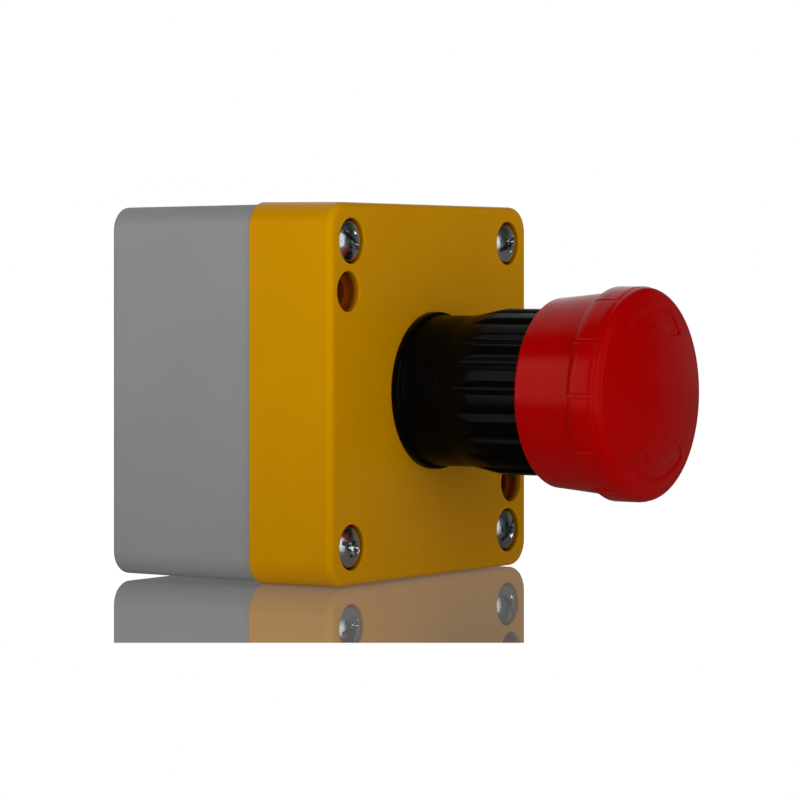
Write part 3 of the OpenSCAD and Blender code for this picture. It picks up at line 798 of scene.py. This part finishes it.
tail_angle = 132
neck_angle = 69
point_angle = 48
for turned in (0, 180):
    tip = around(tip_r, point_angle + turned)
    barbs = [around(r, neck_angle + turned) for r in (barb_in, barb_out)]
    for barb in barbs:
        cells = [
            f
            for f in head.faces
            if on_dome(f, barb_in, barb_out, point_angle + turned, neck_angle + turned)
        ]
        near = set(e for f in cells for e in f.edges) | set(v for f in cells for v in f.verts)
        across = (tip - barb).cross(up).normalized()
        bmesh.ops.bisect_plane(
            head, geom=cells + list(near), dist=0.002, plane_co=tip, plane_no=across
        )
    arrow = [
        f
        for f in head.faces
        if on_dome(f, arrow_in, arrow_out, neck_angle + turned, tail_angle + turned)
        or (
            f.calc_center_median().z > rim_front - 1
            and inside(f.calc_center_median(), [tip, *barbs])
        )
    ]
    slivers = set(e for f in arrow for e in f.edges)
    bmesh.ops.dissolve_degenerate(head, dist=0.04, edges=list(slivers))
    arrow = [f for f in arrow if f.is_valid]
    for thickness, depth in ((0.05, -0.04), (0.05, -0.14), (0.06, -0.05)):
        inset(arrow, thickness, depth, False)
    print("arrow turned", turned, "has", len(arrow), "faces")
bmesh.ops.translate(head, vec=(0, 0, face), verts=head.verts[:])
finish_piece(head, "mushroom_head", "red_head", "head", ["mushroom_cap"], weighted=False)

# %% [markdown]
# A lid screw has an oval head with a slot and a cross, so that a flat blade and a cross
# blade both fit it. The head is turned. A Boolean modifier cuts the slot and the cross,
# whose wings narrow towards the bottom, and is then applied, so the cutter can go.

# %% Lid screws
screw_head_r = 3.8
screw_head_t = 2.6
screw_top = face + 0.4
screw_len = 28.0
shank_r = 2.0
oval_h = 0.98
oval_r = (screw_head_r**2 + oval_h**2) / (2 * oval_h)


def oval_at(radius):
    """Height of the screw's oval head at a distance from its axis."""
    return screw_top - oval_r + math.sqrt(oval_r**2 - radius**2)


def wing(shape, long, wide, deep, angle, narrow):
    """A bar that cuts a slot. Its half length is long; narrow shrinks its lower end."""
    top = screw_top + 0.5
    size = Matrix.Diagonal((2 * long, wide, deep + 0.5, 1))
    spin = Matrix.Rotation(math.radians(angle), 4, "Z")
    made = bmesh.ops.create_cube(
        shape, size=1, matrix=spin @ Matrix.Translation((0, 0, top - (deep + 0.5) / 2)) @ size
    )
    low = [v for v in made["verts"] if v.co.z < top - 0.1 - deep / 2]
    bmesh.ops.scale(shape, vec=(narrow, narrow, 1), verts=low)


def plain_object(shape, name):
    """An object for a short use, such as a cutter."""
    mesh = bpy.data.meshes.new(name)
    shape.to_mesh(mesh)
    shape.free()
    item = bpy.data.objects.new(name, mesh)
    scene.collection.objects.link(item)
    return item


def cut_screw():
    """A screw on the axis, with its slot and cross cut."""
    body = bmesh.new()
    bottom = screw_top - screw_head_t
    end = bottom - screw_len
    oval = [(r, oval_at(r)) for r in (3.6, 3.3, 2.9, 2.5, 2, 1.5, 1, 0.5, 0)]
    screw_outline = (
        [(0, end), (1.2, end + 1.6), (shank_r, end + 3)]
        + [(shank_r, bottom), (screw_head_r - chamfer, bottom), (screw_head_r, bottom + chamfer)]
        + [(screw_head_r, oval_at(screw_head_r) - 0.12), (screw_head_r - 0.06, oval_at(3.74))]
        + oval
    )
    turn(body, screw_outline, 72)
    close_up(body)
    slot = bmesh.new()
    wing(slot, 3.25, 0.86, 1.1, 0, 0.96)
    cross = bmesh.new()
    for angle in (0, 90):
        wing(cross, 2.25, 1.2, 2.0, angle, 0.5)
    screw_item = plain_object(body, "screw")
    cutters = [plain_object(slot, "slot"), plain_object(cross, "cross")]
    for item in cutters:
        boolean = screw_item.modifiers.new("cut", "BOOLEAN")
        boolean.operation = "DIFFERENCE"
        boolean.solver = "EXACT"
        boolean.use_self = True
        boolean.object = item
    soften = screw_item.modifiers.new("soften", "BEVEL")
    soften.width = 0.05
    soften.segments = 2
    soften.limit_method = "ANGLE"
    soften.angle_limit = math.radians(40)
    ready = screw_item.evaluated_get(bpy.context.evaluated_depsgraph_get())
    mesh = bpy.data.meshes.new_from_object(ready)
    for item in (screw_item, *cutters):
        bpy.data.objects.remove(item)
    return mesh


screw_mesh = cut_screw()
screw_turns = [-35, 28, -20, 42]
for number, (place, angle) in enumerate(zip(screws, screw_turns), 1):
    shape = bmesh.new()
    shape.from_mesh(screw_mesh)
    put = Matrix.Translation((*place, 0)) @ Matrix.Rotation(math.radians(angle), 4, "Z")
    bmesh.ops.transform(shape, matrix=put, verts=shape.verts[:])
    piece = finish_piece(shape, f"lid_screw_{number}", "zinc_steel", "housing", [])
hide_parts("lid_screws")

# %% [markdown]
# The springs keep the shape that the CAD model gives them, though a stiff spring would
# cut through the pieces that press it. Each one is a copy with a mesh of its own: the
# pressed springs hang in the housing's body, and the torsion spring, in no body, has its
# place baked into its mesh.


# %% Springs
def spring_copy(node, name, body):
    source = frame["nodes"][node]
    shape = bmesh.new()
    shape.from_mesh(source.data)
    lie_down = stand_up.inverted() @ source.matrix_world
    bmesh.ops.transform(shape, matrix=lie_down, verts=shape.verts[:])
    return finish_piece(shape, name, "spring_steel", body, [node], weighted=False)


pressed = {
    "release_spring": "head_press",
    "left_contact_spring": "left_contact_slide",
    "right_contact_spring": "right_contact_slide",
}
for node, joint in pressed.items():
    spring = spring_copy(node, node + "_wire", "housing")
    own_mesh(spring)
twisted = spring_copy("torsion_spring", "torsion_spring_wire", None)
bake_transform(twisted)

# %% [markdown]
# The plate under the housing is a mirror only at a low glance, as a sheet of clear
# plastic is: seen steeply it is plain white. Layer Weight gives that change. The plate
# ends in front of the housing, in a straight edge. Light Path tells three kinds of ray
# apart. The camera sees a faint haze over the mirror. Shiny pieces see a grey plate
# instead of a white one. For dull pieces, half of the plate is an even glow.

# %% Plate
plate_front = 0.5716
plate_size = 3.0
haze_glow = 0.085
even_glow = 0.66
glow_share = 0.5
low = cad_box[0][2] - 0.00003
forward = Vector((-math.sin(view_turn), math.cos(view_turn), 0))
across = Vector((forward.y, -forward.x, 0))
middle = camera.location + forward * (plate_front + plate_size / 2)
bpy.ops.mesh.primitive_plane_add(
    size=plate_size, location=(middle.x, middle.y, low), rotation=(0, 0, view_turn)
)
plate = bpy.context.object
plate.name = "plate"
plate_material = bpy.data.materials.new("clear_plate")
plate_material.use_nodes = True
pn, pl = plate_material.node_tree.nodes, plate_material.node_tree.links
pn.clear()
seen = pn.new("ShaderNodeLightPath")
mirror = pn.new("ShaderNodeBsdfGlossy")
mirror.inputs["Color"].default_value = (0.65, 0.65, 0.65, 1)
mirror.inputs["Roughness"].default_value = 0.0
haze = pn.new("ShaderNodeEmission")
haze_level = pn.new("ShaderNodeMath")
haze_level.operation = "MULTIPLY"
haze_level.inputs[1].default_value = haze_glow
pl.new(seen.outputs["Is Camera Ray"], haze_level.inputs[0])
pl.new(haze_level.outputs[0], haze.inputs["Strength"])
low_glance = pn.new("ShaderNodeAddShader")
pl.new(mirror.outputs[0], low_glance.inputs[0])
pl.new(haze.outputs[0], low_glance.inputs[1])
white = pn.new("ShaderNodeBsdfDiffuse")
shade = pn.new("ShaderNodeMix")
shade.data_type = "RGBA"
shade.inputs[6].default_value = (0.85, 0.85, 0.85, 1)
shade.inputs[7].default_value = (0.3, 0.3, 0.3, 1)
pl.new(seen.outputs["Is Glossy Ray"], shade.inputs["Factor"])
pl.new(shade.outputs[2], white.inputs["Color"])
glance = pn.new("ShaderNodeLayerWeight")
glance.inputs["Blend"].default_value = 0.5
steep = pn.new("ShaderNodeMapRange")
steep.inputs["From Min"].default_value = 0.76
steep.inputs["From Max"].default_value = 0.88
blend = pn.new("ShaderNodeMixShader")
even = pn.new("ShaderNodeEmission")
even.inputs["Strength"].default_value = even_glow
partly = pn.new("ShaderNodeMath")
partly.operation = "MULTIPLY"
partly.inputs[1].default_value = glow_share
dull = pn.new("ShaderNodeMixShader")
plate_out = pn.new("ShaderNodeOutputMaterial")
pl.new(glance.outputs["Facing"], steep.inputs["Value"])
pl.new(steep.outputs["Result"], blend.inputs["Fac"])
pl.new(white.outputs[0], blend.inputs[1])
pl.new(low_glance.outputs[0], blend.inputs[2])
pl.new(seen.outputs["Is Diffuse Ray"], partly.inputs[0])
pl.new(partly.outputs[0], dull.inputs["Fac"])
pl.new(blend.outputs[0], dull.inputs[1])
pl.new(even.outputs[0], dull.inputs[2])
pl.new(dull.outputs[0], plate_out.inputs["Surface"])
plate.data.materials.append(plate_material)
print("plate lies at", round(low, 5), "and its material has", len(pn), "nodes")

# %% [markdown]
# The world is the studio, and it gives nearly all of the light. Light Path sorts its
# rays. Those that come straight from the camera see white paper. Those off the mirror
# plate see brighter paper, because the mirror keeps only part of it. Those that bounce
# off the pieces see a dim room with a few white sheets and tall cards in it, which give
# plastic and zinc their light and dark patches. Those that light a dull surface see a
# tent that glows most behind the camera. The housing's side faces that glow more
# squarely than its front does, so the side is lighter.

# %% World
world = bpy.data.worlds.new("studio")
scene.world = world
world.use_nodes = True
wn, wl = world.node_tree.nodes, world.node_tree.links
wn.clear()


def background(strength):
    """White light of one strength from every direction."""
    paper = wn.new("ShaderNodeBackground")
    paper.inputs["Color"].default_value = (1, 1, 1, 1)
    paper.inputs["Strength"].default_value = strength
    return paper


def math_node(operation, *values):
    """A Math node, fed with numbers or with other nodes' outputs."""
    node = wn.new("ShaderNodeMath")
    node.operation = operation
    for i, value in enumerate(values):
        if isinstance(value, (int, float)):
            node.inputs[i].default_value = value
        else:
            wl.new(value, node.inputs[i])
    return node.outputs[0]


def world_mix(factor, first, second):
    """The first light where the factor is 0 and the second where it is 1."""
    mix = wn.new("ShaderNodeMixShader")
    wl.new(factor, mix.inputs["Fac"])
    wl.new(first.outputs[0], mix.inputs[1])
    wl.new(second.outputs[0], mix.inputs[2])
    return mix


path = wn.new("ShaderNodeLightPath")
direction = wn.new("ShaderNodeTexCoord")


def patch_dot(toward):
    """1 where the room is seen in one direction, -1 in the opposite one."""
    aim = wn.new("ShaderNodeVectorMath")
    aim.operation = "DOT_PRODUCT"
    aim.inputs[1].default_value = Vector(toward).normalized()
    wl.new(direction.outputs["Generated"], aim.inputs[0])
    return aim.outputs["Value"]


def fade(value, zero_at, one_at):
    """Stretches a range of values to run from 0 to 1."""
    ramp = wn.new("ShaderNodeMapRange")
    ramp.inputs["From Min"].default_value = zero_at
    ramp.inputs["From Max"].default_value = one_at
    wl.new(value, ramp.inputs["Value"])
    return ramp.outputs["Result"]


def patch(toward, low, high):
    """A round white patch in the room: 1 in its middle and 0 outside."""
    return fade(patch_dot(toward), low, high)


def window(toward, side_low, side_high, top, full):
    """A tall white card: narrow from side to side, and fading at its top and bottom."""
    level = wn.new("ShaderNodeVectorMath")
    level.operation = "MULTIPLY"
    level.inputs[1].default_value = (1, 1, 0)
    unit = wn.new("ShaderNodeVectorMath")
    unit.operation = "NORMALIZE"
    aim = wn.new("ShaderNodeVectorMath")
    aim.operation = "DOT_PRODUCT"
    aim.inputs[1].default_value = Vector((*toward, 0)).normalized()
    split = wn.new("ShaderNodeSeparateXYZ")
    wl.new(direction.outputs["Generated"], level.inputs[0])
    wl.new(level.outputs[0], unit.inputs[0])
    wl.new(unit.outputs[0], aim.inputs[0])
    wl.new(direction.outputs["Generated"], split.inputs[0])
    high = math_node("ABSOLUTE", split.outputs["Z"])
    across = fade(aim.outputs["Value"], side_low, side_high)
    upward = fade(high, top, full)
    return math_node("MULTIPLY", across, upward)


sheet_behind = patch((0.45, 0.6, 0.66), 0.78, 0.9)
card_right = patch((0.995, -0.1, 0.0), 0.86, 0.95)
sheet_far = patch((0.845, 0.534, 0.0), 0.9, 0.97)
card_left = window((-0.8, 0.6), 0.935, 0.955, 0.58, 0.5)
card_side = window((-0.966, -0.26), 0.985, 0.994, 0.75, 0.6)
paper_seen = background(1.0)
paper_mirrored = background(1.45)
paper_soft = background(1.0)
card_dim = background(3.3)
card_bright = background(4.0)
room_dim = background(0.03)
paper_right = background(0.13)
tent = background(1.0)
tent_side = (-0.78, -0.625, -0.15)
glow = wn.new("ShaderNodeMapRange")
glow.interpolation_type = "SMOOTHSTEP"
glow.inputs["From Min"].default_value = -0.1
glow.inputs["To Min"].default_value = 0.12
glow.inputs["To Max"].default_value = 1.84
wl.new(patch_dot(tent_side), glow.inputs["Value"])
wl.new(glow.outputs["Result"], tent.inputs["Strength"])
room = world_mix(sheet_behind, world_mix(card_right, room_dim, paper_right), paper_soft)
room = world_mix(sheet_far, room, paper_seen)
off_pieces = world_mix(card_side, world_mix(card_left, room, card_dim), card_bright)
one_bounce = math_node("LESS_THAN", path.outputs["Glossy Depth"], 1.5)
straight = math_node("MULTIPLY", path.outputs["Is Singular Ray"], one_bounce)
off_plate = world_mix(straight, off_pieces, paper_mirrored)
bounced = world_mix(path.outputs["Is Glossy Ray"], tent, off_plate)
clear = math_node("MAXIMUM", path.outputs["Is Camera Ray"], path.outputs["Is Transmission Ray"])
studio = world_mix(clear, bounced, paper_seen)
world_out = wn.new("ShaderNodeOutputWorld")
wl.new(studio.outputs[0], world_out.inputs["Surface"])
print("studio has", len(wn), "nodes")


# %% [markdown]
# One soft lamp stands far in front of the head, and only reflections show it. Its light
# on dull surfaces is switched off, because the tent does that work.


# %% Lamps
def softbox(name, place, target, size, power):
    """A rectangular lamp that is aimed at a point."""
    data = bpy.data.lights.new(name, "AREA")
    data.shape = "RECTANGLE"
    data.size, data.size_y = size
    data.energy = power
    lamp = bpy.data.objects.new(name, data)
    lamp.location = place
    lamp.rotation_euler = (Vector(target) - Vector(place)).to_track_quat("-Z", "Y").to_euler()
    scene.collection.objects.link(lamp)
    return lamp


front = softbox("front_softbox", (0.09, -0.8, 0.02), (0, -0.06, 0), (0.27, 0.5), 0.5)
front.visible_diffuse = False
print(front.name, "stands at", [round(v, 2) for v in front.location])
